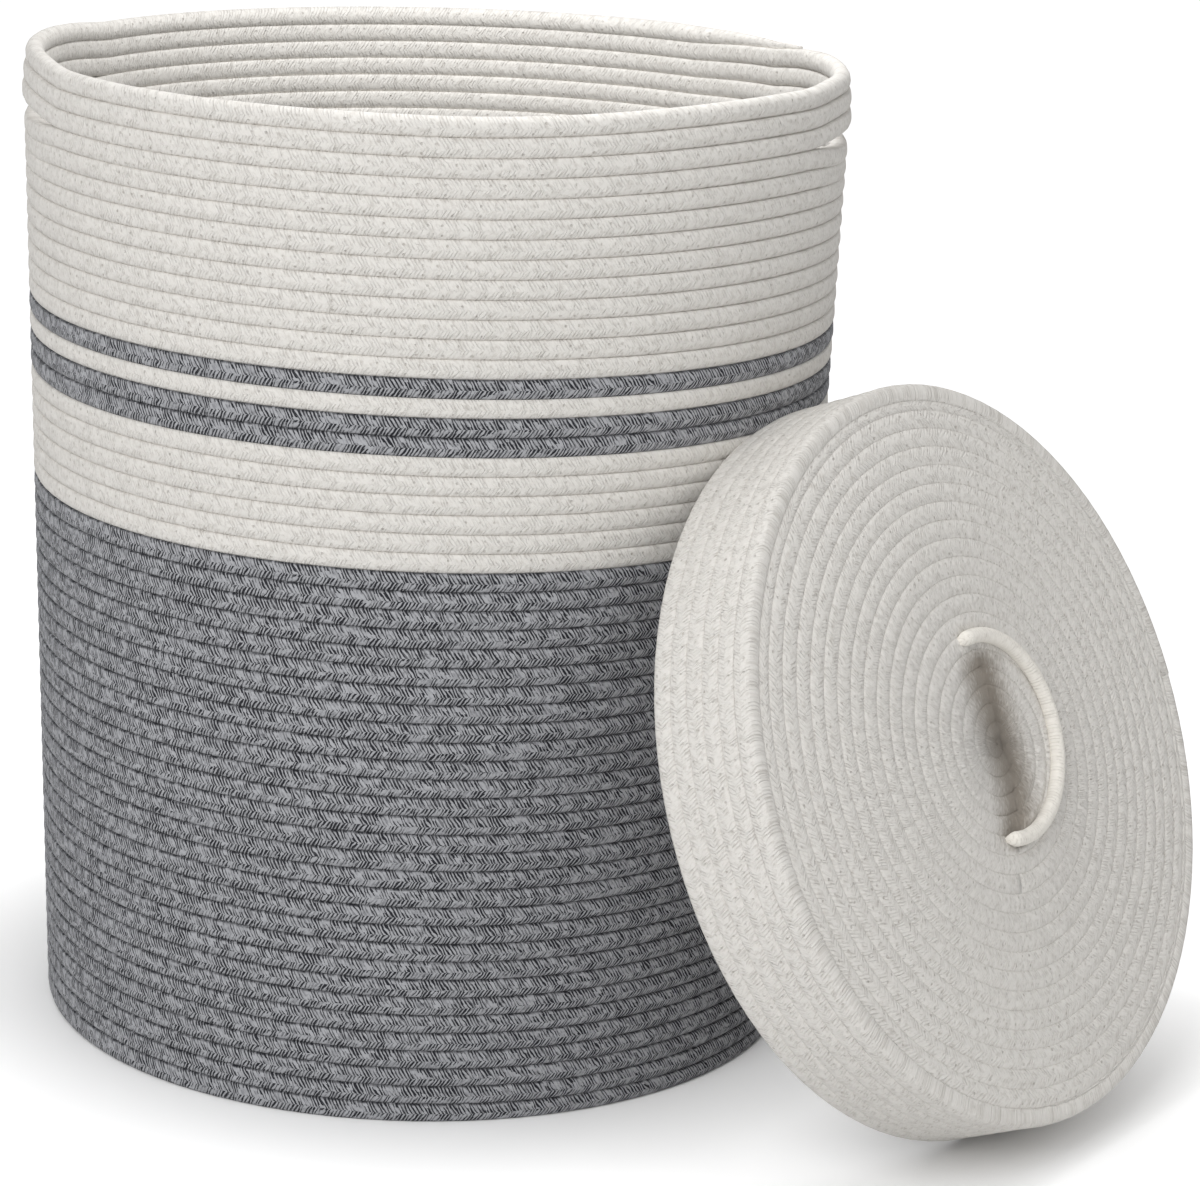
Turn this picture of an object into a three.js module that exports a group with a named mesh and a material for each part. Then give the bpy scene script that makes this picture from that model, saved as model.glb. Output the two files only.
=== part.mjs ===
// Laundry basket: a tall round hamper sewn from one long coil of braided cotton rope, with a
// loose rope lid that stands on its edge and leans against the wall.
// Millimetres and degrees. The origin is on the basket's axis at the floor, +Z is up, and
// -Y is the front. The coil starts at the rope's free end on the rim and winds down to the foot.
import * as THREE from "three";

// The rope and its sewing
const ropeDiameter = 9.43;
const stitchDepth = 1.8;
const seamGap = 0.3;
const facets = 24;

// The wall, as rows of rope from the rim down
const rowsAboveSlot = 3;
const creamUpperRows = 10;
const greySingleRows = 1;
const creamSingleRows = 1;
const greyDoubleRows = 2;
const creamBandRows = 6;
const greyLowerRows = 29;
const footRows = 1;
const rimRadius = 211.2;
const rimGather = 3;
const rimGatherRows = 4;
const footRadius = 199.75;
const rimEndAzimuth = 20;
const rimEndThinning = 0.35;
const colourChangeAzimuth = 90;

// The two hand slots, on the left and on the right
const slotHalfAngle = 26;
const slotHeight = 8;
const slotBulge = 1.2;
const rowsPressedDown = 3;
const slotAzimuths = [180, 360];

// The base inside the foot row
const baseCentreRadius = 4;

// The lid, whose edge row has a rounded corner
const lidRadius = 185.2;
const lidSkirtRows = 5;
const lidFlare = 1;
const lidEndAzimuth = 0;
const edgeRoundInwards = 0.45 * ropeDiameter;
const edgeRoundDownwards = 0.35 * ropeDiameter;
const edgeRidgeWidth = 0.7 * ropeDiameter;

// The lid's handle: a creased, sunk centre with a thick lip of rope over one side
const bowlRadius = 61.1;
const bowlCentreRadius = 4;
const hollowDepth = 15;
const hollowLeftEdge = -34;
const hollowSag = 1.2;
const creaseCentreX = 2.7;
const creaseCentreY = 3;
const creaseReach = 40;
const creaseHalfLength = 54;
const lipRadius = 52.5;
const lipCentreX = 2.7;
const lipCentreY = 6.3;
const lipStartAngle = 98;
const lipEndAngle = -106;
const lipSteps = 24;
const lipSides = 8;

// How the lid leans on the wall
const lidBearing = -39.6;
const lidUpwardTilt = 22.8;
const lidSideways = 42.2;
const wallContactGap = 0.3;

const cream = { color: 0xd9d5ce, roughness: 0.95, metalness: 0 };
const grey = { color: 0x85868a, roughness: 0.95, metalness: 0 };

const turn = 2 * Math.PI;
const radians = Math.PI / 180;
const halfRope = ropeDiameter / 2;
const halfGap = seamGap / 2;
// A free edge of rope is rounded by a corner halfway between its crest and its middle.
const shoulder = Math.SQRT1_2 / 2;
const shoulderInset = (0.5 - shoulder) * ropeDiameter;
const wallBands = [
  { name: "wall_cream_rim", rows: rowsAboveSlot, look: cream },
  { name: "wall_cream_upper", rows: creamUpperRows, look: cream },
  { name: "wall_grey_single_row", rows: greySingleRows, look: grey },
  { name: "wall_cream_single_row", rows: creamSingleRows, look: cream },
  { name: "wall_grey_double_row", rows: greyDoubleRows, look: grey },
  { name: "wall_cream_band", rows: creamBandRows, look: cream },
  { name: "wall_grey_lower", rows: greyLowerRows, look: grey },
];
const wallRows = wallBands.reduce((sum, band) => sum + band.rows, footRows);
const basketHeight = wallRows * ropeDiameter;
const facetAngle = 360 / facets;
const frontAzimuth = 270;
// The facets are counted from the one that holds the rope's free end, which is trimmed inside it.
const startAzimuth = facetAngle * Math.floor(rimEndAzimuth / facetAngle);
const rimEndTrim = rimEndAzimuth - startAzimuth;
const frontTurns = (frontAzimuth - startAzimuth) / 360;
const changeFacet = Math.round((colourChangeAzimuth - startAzimuth) / facetAngle);

// A skin collects triangles, welds their corners and drops those that have no area.
class Skin {
  constructor() {
    this.lookup = new Map();
    this.points = [];
    this.triangles = [];
  }

  corner(p) {
    const key = [p.x, p.y, p.z].map((value) => Math.round(value * 1e4)).join(",");
    if (!this.lookup.has(key)) {
      this.lookup.set(key, this.points.length);
      this.points.push(p.clone());
    }
    return this.lookup.get(key);
  }

  polygon(...corners) {
    const ids = corners.map((p) => this.corner(p));
    for (let k = 1; k + 1 < ids.length; k++) {
      const [a, b, c] = [ids[0], ids[k], ids[k + 1]];
      if (a !== b && b !== c && c !== a) this.triangles.push([a, b, c]);
    }
  }

  // A flat face that may bend inwards; across gives each corner's place in the face's plane.
  bentPolygon(corners, across) {
    const flat = corners.map(across);
    const side = Math.sign(THREE.ShapeUtils.area(flat));
    for (const [a, b, c] of THREE.ShapeUtils.triangulateShape(flat, [])) {
      const turned = Math.sign(THREE.ShapeUtils.area([flat[a], flat[b], flat[c]])) !== side;
      this.polygon(corners[a], corners[turned ? c : b], corners[turned ? b : c]);
    }
  }

  // The closed surface with its faces turned outwards.
  geometry() {
    let volume = 0;
    for (const [a, b, c] of this.triangles) {
      const cross = this.points[b].clone().cross(this.points[c]);
      volume += this.points[a].dot(cross);
    }
    const turned = volume < 0;
    const index = this.triangles.flatMap(([a, b, c]) => (turned ? [a, c, b] : [a, b, c]));
    const position = this.points.flatMap((p) => [p.x, p.y, p.z]);
    const made = new THREE.BufferGeometry();
    made.setAttribute("position", new THREE.Float32BufferAttribute(position, 3));
    made.setIndex(index);
    return made;
  }
}

function polar(radius, azimuth, z) {
  return new THREE.Vector3(radius * Math.cos(azimuth), radius * Math.sin(azimuth), z);
}

// A helical wall of fused rope rows. place(facet, row, inset) gives the point of the wall at a
// facet counted from the rope's start, at a height counted in rows, inset from the outer crests.
// below says whether a point on a groove belongs to the row under it. freeStart and freeEnd say
// that the wall's first or last turn is an open edge, and startTrim is what its start stands back.
function coilWall({ place, firstFacet, lastFacet, freeStart, freeEnd, startTrim = halfGap }) {
  const skin = new Skin();
  const n = lastFacet;
  // The two cut ends of the rope stand back, with the corners that they share.
  const endGap = (facet) => (facet === firstFacet ? startTrim : facet === n ? -halfGap : 0);
  const cornerGap = (k, below) => {
    if (n === firstFacet + facets && k === n) return below ? -halfGap : startTrim;
    if (k === firstFacet || k === firstFacet + facets) return startTrim;
    return k === n || k === n + facets ? -halfGap : 0;
  };
  const edgeShift = (facet) => {
    if (facet < firstFacet + facets && !freeStart) return halfGap / ropeDiameter;
    if (facet > n && !freeEnd) return -halfGap / ropeDiameter;
    return 0;
  };
  // Groove k lies on top of the rope at facet k, and so under the rope one turn earlier.
  const edgeOfRow = (k, inset, below) =>
    place(k, k / facets - 0.5 + edgeShift(k), inset, below, cornerGap(k, below));
  const groove = (k, below) => edgeOfRow(k, stitchDepth, below);
  const inner = (k, below) => edgeOfRow(k, ropeDiameter, below);
  const crest = (k) => place(k, k / facets, 0, true, endGap(k));
  const free = (k, side) => (side < 0 ? k < firstFacet + facets : k > n - facets);
  // A free edge is the rope's own round: an outer shoulder, its middle and an inner shoulder.
  const thinning = (k) => (freeStart && k === firstFacet ? rimEndThinning : 0);
  const outerShoulder = (k, side) => {
    const row = k / facets + side * shoulder - side * thinning(k);
    return place(k, row, shoulderInset, side < 0, endGap(k));
  };
  const innerShoulder = (k, side) => {
    const row = k / facets + side * shoulder - side * thinning(k);
    return place(k, row, ropeDiameter - shoulderInset, side < 0, endGap(k));
  };
  const middle = (k, side) => {
    const row = k / facets + side * 0.5 - side * thinning(k);
    return place(k, row, halfRope, side < 0, endGap(k));
  };
  for (let k = firstFacet; k < n; k++) {
    const openTop = freeStart && free(k, -1);
    const openTopNext = freeStart && free(k + 1, -1);
    const openFoot = freeEnd && free(k, 1);
    const openFootNext = freeEnd && free(k + 1, 1);
    const topLeft = groove(k, true);
    const topRight = groove(k + 1, true);
    const footLeft = groove(k + facets, false);
    const footRight = groove(k + 1 + facets, false);
    const innerTopLeft = inner(k, true);
    const innerTopRight = inner(k + 1, true);
    const innerFootLeft = inner(k + facets, false);
    const innerFootRight = inner(k + 1 + facets, false);
    const upperLeft = openTop ? outerShoulder(k, -1) : topLeft;
    const upperRight = openTopNext ? outerShoulder(k + 1, -1) : topRight;
    const lowerLeft = openFoot ? outerShoulder(k, 1) : footLeft;
    const lowerRight = openFootNext ? outerShoulder(k + 1, 1) : footRight;
    const innerUpperLeft = openTop ? innerShoulder(k, -1) : innerTopLeft;
    const innerUpperRight = openTopNext ? innerShoulder(k + 1, -1) : innerTopRight;
    const innerLowerLeft = openFoot ? innerShoulder(k, 1) : innerFootLeft;
    const innerLowerRight = openFootNext ? innerShoulder(k + 1, 1) : innerFootRight;
    skin.polygon(upperLeft, crest(k), crest(k + 1), upperRight);
    skin.polygon(crest(k), lowerLeft, lowerRight, crest(k + 1));
    skin.polygon(innerUpperLeft, innerUpperRight, innerLowerRight, innerLowerLeft);
    if (k < firstFacet + facets) {
      if (openTop && openTopNext) {
        skin.polygon(upperLeft, upperRight, middle(k + 1, -1), middle(k, -1));
        skin.polygon(middle(k, -1), middle(k + 1, -1), innerUpperRight, innerUpperLeft);
      } else if (openTop) {
        skin.polygon(upperLeft, upperRight, middle(k, -1));
        skin.polygon(middle(k, -1), upperRight, innerUpperRight);
        skin.polygon(middle(k, -1), innerUpperRight, innerUpperLeft);
      } else {
        skin.polygon(upperLeft, upperRight, innerUpperRight, innerUpperLeft);
      }
    }
    if (k >= n - facets) {
      if (openFoot && openFootNext) {
        skin.polygon(lowerLeft, middle(k, 1), middle(k + 1, 1), lowerRight);
        skin.polygon(middle(k, 1), innerLowerLeft, innerLowerRight, middle(k + 1, 1));
      } else if (openFootNext) {
        skin.polygon(lowerLeft, middle(k + 1, 1), lowerRight);
        skin.polygon(lowerLeft, innerLowerLeft, middle(k + 1, 1));
        skin.polygon(innerLowerLeft, innerLowerRight, middle(k + 1, 1));
      } else {
        skin.polygon(lowerLeft, innerLowerLeft, innerLowerRight, lowerRight);
      }
    }
  }
  const startFoot = groove(firstFacet + facets, false);
  const startInnerFoot = inner(firstFacet + facets, false);
  const startTop = freeStart
    ? [outerShoulder(firstFacet, -1), middle(firstFacet, -1), innerShoulder(firstFacet, -1)]
    : [groove(firstFacet, true), inner(firstFacet, true)];
  skin.polygon(crest(firstFacet), ...startTop, startInnerFoot, startFoot);
  const endTop = groove(n, true);
  const endInnerTop = inner(n, true);
  const endFoot = freeEnd
    ? [outerShoulder(n, 1), middle(n, 1), innerShoulder(n, 1)]
    : [groove(n + facets, false), inner(n + facets, false)];
  skin.polygon(crest(n), ...endFoot, endInnerTop, endTop);
  return skin.geometry();
}

// A flat spiral of fused rope rows between two circles, ridged on top and flat underneath.
// Its first and last turns grow from nothing and die away, so both of its edges are round.
function spiralPlate(plate) {
  const { outer, rows, inner, closed, zFlat, zCrest, start } = plate;
  // rim(k) gives the radii and heights round its outer edge at facet k, from the groove on top to
  // the flat side. lift(x, y) raises or sinks the whole thickness.
  const { rim, flatRings = 1, lift = () => 0 } = plate;
  const skin = new Skin();
  const n = facets * (rows + 1);
  const pitch = (outer - inner) / rows;
  const radiusAt = (k) => outer - pitch * Math.min(Math.max(k / facets - 1, 0), rows);
  const point = (radius, k, z) => {
    const p = polar(radius, start * radians + (turn * (k % facets)) / facets, z);
    return p.setZ(z + lift(p.x, p.y));
  };
  const groove = (k) => point(radiusAt(k), k, zCrest - stitchDepth);
  const crest = (k) => {
    const width = radiusAt(k) - radiusAt(k + facets);
    const drop = stitchDepth * (1 - Math.min(width / pitch, 1));
    return point((radiusAt(k) + radiusAt(k + facets)) / 2, k, zCrest - drop);
  };
  const edge = (k) => (rim ? rim(k) : []).map(([radius, z]) => point(radius, k, z));
  const outline = (k) => [point(outer, k, zCrest - stitchDepth), ...edge(k), point(outer, k, zFlat)];
  for (let k = 0; k < n; k++) {
    skin.polygon(groove(k), groove(k + 1), crest(k + 1), crest(k));
    skin.polygon(crest(k), crest(k + 1), groove(k + 1 + facets), groove(k + facets));
  }
  const middleTop = new THREE.Vector3(0, 0, zCrest + lift(0, 0));
  const middleFlat = new THREE.Vector3(0, 0, zFlat + lift(0, 0));
  for (let k = 0; k < facets; k++) {
    const [near, far] = [outline(k), outline(k + 1)];
    for (let i = 0; i + 1 < near.length; i++) skin.polygon(near[i], near[i + 1], far[i + 1], far[i]);
    for (let ring = 0; ring < flatRings; ring++) {
      const wide = outer + ((inner - outer) * ring) / flatRings;
      const narrow = outer + ((inner - outer) * (ring + 1)) / flatRings;
      const outerPair = [point(wide, k, zFlat), point(wide, k + 1, zFlat)];
      skin.polygon(outerPair[0], point(narrow, k, zFlat), point(narrow, k + 1, zFlat), outerPair[1]);
    }
    const hub = [point(inner, k, zFlat), point(inner, k + 1, zFlat)];
    if (closed) {
      skin.polygon(groove(n + k), groove(n + k + 1), middleTop);
      skin.polygon(hub[0], middleFlat, hub[1]);
    } else {
      skin.polygon(groove(n + k), groove(n + k + 1), hub[1], hub[0]);
    }
  }
  closeStep(skin, outline(facets), outline(0));
  return skin.geometry();
}

// The upright face between the last and the first outline of an edge that ends a row higher or
// lower than it began. Where the two outlines are the same nothing is left open.
function closeStep(skin, last, first) {
  const apart = last.map((p, i) => p.distanceTo(first[i]) > 1e-6);
  if (!apart.includes(true)) return;
  const from = apart.indexOf(true) - 1;
  const to = apart.lastIndexOf(true) + 1;
  const loop = [...last.slice(from, to + 1), ...first.slice(from + 1, to).reverse()];
  const corners = loop.filter((p, i) => p.distanceTo(loop[(i + 1) % loop.length]) > 1e-6);
  skin.bentPolygon(corners, (p) => new THREE.Vector2(Math.hypot(p.x, p.y), p.z));
}

// The row of rope round a flat spiral, as radii and heights. Its outer end has a rounded corner,
// and its other side climbs or falls by one row in a turn, so that the coil of the wall runs on
// from it. zAt turns a depth below the outer end into a height.
const cornerAngles = [turn / 4, turn / 8, 0];
function edgeRow({ radius, climb, zAt, ridgedEnd }) {
  return (k) => {
    const depth = ropeDiameter * (1 + climb * (k / facets - 0.5)) - halfGap;
    const end = ridgedEnd ? [[radius - edgeRidgeWidth, 0]] : [];
    const corner = cornerAngles.map((angle) => [
      radius - edgeRoundInwards * (1 - Math.cos(angle)),
      edgeRoundDownwards * (1 - Math.sin(angle)),
    ]);
    const joint = [[radius, depth - stitchDepth], [radius - stitchDepth, depth]];
    joint.push([radius - ropeDiameter - seamGap, depth]);
    const outline = [...end, ...corner, ...joint];
    return (ridgedEnd ? outline : outline.reverse()).map(([r, d]) => [r, zAt(d)]);
  };
}

// The basket's wall
const radiusAtHeight = (z) => footRadius + ((rimRadius - footRadius) * z) / basketHeight;
const heightAtRow = (row) => basketHeight - ropeDiameter * (row + 0.5 - frontTurns);

const slotCentres = slotAzimuths.map((azimuth) => rowsAboveSlot + (azimuth - startAzimuth) / 360);

function slotOpening(turns, centre) {
  const apart = turns - centre - Math.round(turns - centre);
  const share = (apart * 360) / slotHalfAngle;
  return { apart, open: Math.max(0, 1 - share * share) };
}

function placeOnWall(facet, row, inset, below, tangent) {
  const turns = facet / facets;
  let z = heightAtRow(row);
  const gathered = Math.max(0, 1 - (row + 0.5) / rimGatherRows);
  let radius = radiusAtHeight(z) - rimGather * gathered * gathered - inset;
  for (const centre of slotCentres) {
    const { apart, open } = slotOpening(turns, centre);
    const slotGroove = centre + apart;
    const under = row + 0.5 - slotGroove;
    const above = under < -1e-6 || (under < 1e-6 && !below);
    if (above) {
      z += (open * slotHeight) / 2;
      radius += open * slotBulge * Math.max(0, (row + 0.5) / slotGroove);
    } else {
      z -= ((open * slotHeight) / 2) * Math.max(0, 1 - under / rowsPressedDown);
    }
  }
  const azimuth = startAzimuth * radians + turn * turns + tangent / radius;
  return polar(radius, azimuth, z);
}


function named(name, geometry, look) {
  const mesh = new THREE.Mesh(geometry, new THREE.MeshStandardMaterial(look));
  mesh.name = name;
  return mesh;
}

// Each length of the wall's rope starts where the one above it ends. The slots lie in the groove
// between the first two.
const basket = new THREE.Group();
let firstFacet = 0;
for (const band of wallBands) {
  const freeStart = firstFacet === 0;
  const lastFacet = facets * band.rows + (freeStart ? changeFacet : firstFacet);
  const startTrim = freeStart ? rimEndTrim * radians * (rimRadius - rimGather) : halfGap;
  const geometry = coilWall({ place: placeOnWall, firstFacet, lastFacet, freeStart, startTrim });
  basket.add(named(band.name, geometry, band.look));
  firstFacet = lastFacet;
}

// The base: a flat spiral inside the foot row
const footStart = startAzimuth + facetAngle * changeFacet;
const basePlateRadius = footRadius - ropeDiameter - seamGap;
const baseRows = Math.floor((basePlateRadius - baseCentreRadius) / ropeDiameter);
const base = spiralPlate({
  outer: basePlateRadius,
  rows: baseRows,
  inner: basePlateRadius - baseRows * ropeDiameter,
  closed: true,
  zFlat: 0,
  zCrest: ropeDiameter,
  start: footStart,
  rim: edgeRow({ radius: footRadius, climb: -1, zAt: (depth) => depth, ridgedEnd: false }),
});
basket.add(named("base_coil", base, grey));

// The lid in its own frame: +Z is out of its face and z = 0 is the middle of the face's rope
const lidTop = (depth) => halfRope - depth;
const skirtStart = 1.5 * ropeDiameter;
const skirtDepth = lidSkirtRows * ropeDiameter;
const lidRadiusAt = (depth) => lidRadius + (lidFlare * Math.max(0, depth - skirtStart)) / skirtDepth;
function placeOnLid(facet, row, inset, below, tangent) {
  const depth = ropeDiameter * (row + 1);
  const radius = lidRadiusAt(depth) - inset;
  const azimuth = lidEndAzimuth * radians + (turn * facet) / facets + tangent / radius;
  return polar(radius, azimuth, lidTop(depth));
}
const lidSkirt = coilWall({
  place: placeOnLid,
  firstFacet: 0,
  lastFacet: facets * lidSkirtRows,
  freeEnd: true,
});
const facePlateRadius = lidRadius - ropeDiameter - seamGap;
const faceHoleRadius = bowlRadius + seamGap;
const lidFace = spiralPlate({
  outer: facePlateRadius,
  rows: Math.round((facePlateRadius - faceHoleRadius) / ropeDiameter),
  inner: faceHoleRadius,
  closed: false,
  zFlat: -halfRope,
  zCrest: halfRope,
  start: lidEndAzimuth,
  rim: edgeRow({ radius: lidRadius, climb: 1, zAt: lidTop, ridgedEnd: true }),
});

// The sunk centre: it slopes from its left edge down to the crease and rises steeply to the lip
function hollow(x, y) {
  const along = Math.min(1, Math.abs(y - creaseCentreY) / creaseHalfLength);
  const bow = Math.sqrt(1 - along * along);
  const depth = hollowDepth * bow;
  const crease = creaseCentreX + creaseReach * bow;
  const lipEdge = crease + (lipRadius - creaseReach) * bow;
  if (x <= hollowLeftEdge || x >= lipEdge || depth === 0) return 0;
  if (x < crease) return -depth * ((x - hollowLeftEdge) / (crease - hollowLeftEdge)) ** hollowSag;
  return (-depth * (lipEdge - x)) / (lipEdge - crease);
}
const bowlRows = Math.round((bowlRadius - bowlCentreRadius) / ropeDiameter);
const bowl = spiralPlate({
  outer: bowlRadius,
  rows: bowlRows,
  inner: bowlCentreRadius,
  closed: true,
  zFlat: -halfRope,
  zCrest: halfRope,
  start: lidEndAzimuth,
  flatRings: bowlRows,
  lift: hollow,
});

// The lip: one thick length of rope that lies on the face from one end of the crease to the other
class LipPath extends THREE.Curve {
  getPoint(t, target = new THREE.Vector3()) {
    const angle = (lipStartAngle + (lipEndAngle - lipStartAngle) * t) * radians;
    const x = lipCentreX + lipRadius * Math.cos(angle);
    const y = lipCentreY + lipRadius * Math.sin(angle);
    return target.set(x, y, ropeDiameter + seamGap);
  }
}
const lipSection = new THREE.Shape(
  Array.from({ length: lipSides }, (_, side) => {
    const angle = (turn * (side + 0.5)) / lipSides;
    return new THREE.Vector2(halfRope * Math.cos(angle), halfRope * Math.sin(angle));
  }),
);
const lip = new THREE.ExtrudeGeometry(lipSection, {
  extrudePath: new LipPath(),
  steps: lipSteps,
  bevelEnabled: false,
});

const lid = new THREE.Group();
lid.add(named("lid_skirt", lidSkirt, cream));
lid.add(named("lid_face", lidFace, cream));
lid.add(named("lid_handle_bowl", bowl, cream));
lid.add(named("lid_handle_rope", lip, cream));

// The lid's lean: its face looks along the bearing and up, its open edge stands on the floor
// and the top of that edge rests on the wall.
const tilt = lidUpwardTilt * radians;
const outwards = polar(Math.cos(tilt), lidBearing * radians, Math.sin(tilt));
const across = polar(1, (lidBearing + 90) * radians, 0);
const upFace = outwards.clone().cross(across);
lid.quaternion.setFromRotationMatrix(new THREE.Matrix4().makeBasis(across, upFace, outwards));
const away = polar(1, lidBearing * radians, 0);

const skirtPoints = [];
const skirtPosition = lidSkirt.getAttribute("position");
for (let k = 0; k < skirtPosition.count; k++) {
  const p = new THREE.Vector3().fromBufferAttribute(skirtPosition, k);
  skirtPoints.push(p.applyQuaternion(lid.quaternion));
}
const lidHeight = -Math.min(...skirtPoints.map((p) => p.z));
// The wall is a polygon with a corner at each facet, so it stands back between them.
const wallRadiusTowards = (x, y, z) => {
  const turned = Math.atan2(y, x) - startAzimuth * radians;
  const facet = facetAngle * radians;
  const fromMiddle = turned - facet * (Math.floor(turned / facet) + 0.5);
  return (radiusAtHeight(z) * Math.cos(facet / 2)) / Math.cos(fromMiddle);
};
const approachPasses = 12;
let standoff = rimRadius + lidRadius;
for (let pass = 0; pass < approachPasses; pass++) {
  const centre = away.clone().multiplyScalar(standoff).addScaledVector(across, lidSideways);
  const clearances = skirtPoints.map((p) => {
    const [x, y] = [p.x + centre.x, p.y + centre.y];
    return Math.hypot(x, y) - wallRadiusTowards(x, y, Math.min(p.z + lidHeight, basketHeight));
  });
  standoff -= Math.min(...clearances) - wallContactGap;
}
lid.position.copy(away.multiplyScalar(standoff).addScaledVector(across, lidSideways));
lid.position.z = lidHeight;

const laundryBasket = new THREE.Group();
laundryBasket.add(basket, lid);

export default laundryBasket;
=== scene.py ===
"""Laundry basket sewn from braided cotton rope, with its loose rope lid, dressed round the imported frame."""

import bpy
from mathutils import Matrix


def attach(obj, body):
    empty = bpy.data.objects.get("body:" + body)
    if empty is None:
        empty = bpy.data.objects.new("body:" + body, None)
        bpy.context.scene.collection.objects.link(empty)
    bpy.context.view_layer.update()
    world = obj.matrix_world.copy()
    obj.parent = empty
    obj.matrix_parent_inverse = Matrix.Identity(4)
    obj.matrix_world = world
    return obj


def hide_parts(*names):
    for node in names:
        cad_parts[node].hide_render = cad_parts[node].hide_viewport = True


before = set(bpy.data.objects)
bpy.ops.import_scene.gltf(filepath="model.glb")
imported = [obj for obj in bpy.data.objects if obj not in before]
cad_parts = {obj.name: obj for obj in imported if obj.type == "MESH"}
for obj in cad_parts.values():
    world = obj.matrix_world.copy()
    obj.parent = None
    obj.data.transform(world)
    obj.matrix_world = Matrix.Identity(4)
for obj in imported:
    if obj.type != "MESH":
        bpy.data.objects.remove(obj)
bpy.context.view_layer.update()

import math

import bmesh
import bpy
from bpy.props import FloatProperty, FloatVectorProperty, IntProperty, PointerProperty
from mathutils import Matrix, Vector

bl_info = {
    "name": "Sewn rope laundry basket",
    "version": (1, 0, 0),
    "blender": (4, 5, 0),
    "location": "View3D > Sidebar > Basket",
    "description": "Makes a coiled rope laundry basket, its leaning lid and a plain studio",
    "category": "Object",
}

TURN = 2 * math.pi
MM = 0.001


def linear(hex_colour):
    """A colour written as sRGB hex, as linear values."""
    parts = [int(hex_colour[i : i + 2], 16) / 255 for i in (1, 3, 5)]
    return tuple(p / 12.92 if p <= 0.04045 else ((p + 0.055) / 1.055) ** 2.4 for p in parts)


# Sizes and colours that a user would change


class RopeSizes(bpy.types.PropertyGroup):
    diameter: FloatProperty(
        name="Rope", description="Height of one sewn row", default=9.43 * MM, unit="LENGTH"
    )
    roundness: FloatProperty(
        name="Roundness", description="Of a sewn row: 1 is round and 0 flat", default=0.2
    )
    droop: FloatProperty(name="Droop", description="Roundness of a wall row's lower edge", default=0.68)
    yarn: FloatProperty(
        name="Yarn", description="Width of one yarn of the braid", default=1.9 * MM, unit="LENGTH"
    )
    slant: FloatProperty(
        name="Slant",
        description="A yarn's run along the row from middle to edge",
        default=3 * MM,
        unit="LENGTH",
    )
    pressed: FloatProperty(
        name="Pressed",
        description="How far sewing presses each row into the next",
        default=0.4 * MM,
        unit="LENGTH",
    )
    stitch: FloatProperty(
        name="Stitch", description="Spacing of the needle holes", default=6.6 * MM, unit="LENGTH"
    )
    steps: IntProperty(name="Steps", description="Rings of the mesh in one turn", default=96)
    sides: IntProperty(name="Sides", description="Sides of the rope's section", default=16)


class WallSizes(bpy.types.PropertyGroup):
    rim_radius: FloatProperty(
        name="Rim radius", description="Outside, at the rim", default=211.2 * MM, unit="LENGTH"
    )
    gather: FloatProperty(
        name="Gather", description="How far the rim is drawn in", default=3 * MM, unit="LENGTH"
    )
    gather_rows: FloatProperty(name="Gathered rows", description="Rows that the rim draws in", default=4.0)
    foot_radius: FloatProperty(
        name="Foot radius", description="Outside, at the foot", default=199.75 * MM, unit="LENGTH"
    )
    rows: IntProperty(name="Rows", description="Rows of rope from rim to floor at the front", default=53)
    start_azimuth: FloatProperty(
        name="Start", description="Where row counting starts, in degrees", default=15.0
    )
    end_azimuth: FloatProperty(
        name="Rope end", description="Where the free end lies, in degrees", default=20.0
    )
    change_azimuth: FloatProperty(
        name="Colour change", description="Where colours change, in degrees", default=90.0
    )
    slot_rows: IntProperty(name="Slot rows", description="Rows above each hand slot", default=3)
    slot_half_angle: FloatProperty(
        name="Slot half angle", description="Half the slot's length, in degrees", default=27.0
    )
    slot_height: FloatProperty(
        name="Slot height", description="At its middle", default=8 * MM, unit="LENGTH"
    )
    slot_bulge: FloatProperty(
        name="Slot bulge", description="Of the row above it", default=1.2 * MM, unit="LENGTH"
    )
    rows_pressed: FloatProperty(
        name="Rows pressed", description="Rows under a slot that give way", default=3.0
    )
    end_taper: FloatProperty(
        name="End taper", description="Of the rope's free end", default=99 * MM, unit="LENGTH"
    )
    end_rise: FloatProperty(
        name="End rise", description="Of the rows under the free end", default=4 * MM, unit="LENGTH"
    )
    end_reach: FloatProperty(
        name="End reach", description="How far along those rows rise, in degrees", default=25.0
    )
    end_rows: FloatProperty(name="End rows", description="Rows that rise under the free end", default=7.0)
    wave: FloatProperty(
        name="Wave", description="How far the soft rim rises in one place", default=6 * MM, unit="LENGTH"
    )
    wave_azimuth: FloatProperty(
        name="Wave place", description="Where the rim rises most, in degrees", default=325.0
    )
    wave_reach: FloatProperty(
        name="Wave reach", description="How far along it rises, in degrees", default=55.0
    )
    wave_rows: FloatProperty(name="Wave rows", description="Rows that rise with the rim", default=13.0)


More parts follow.
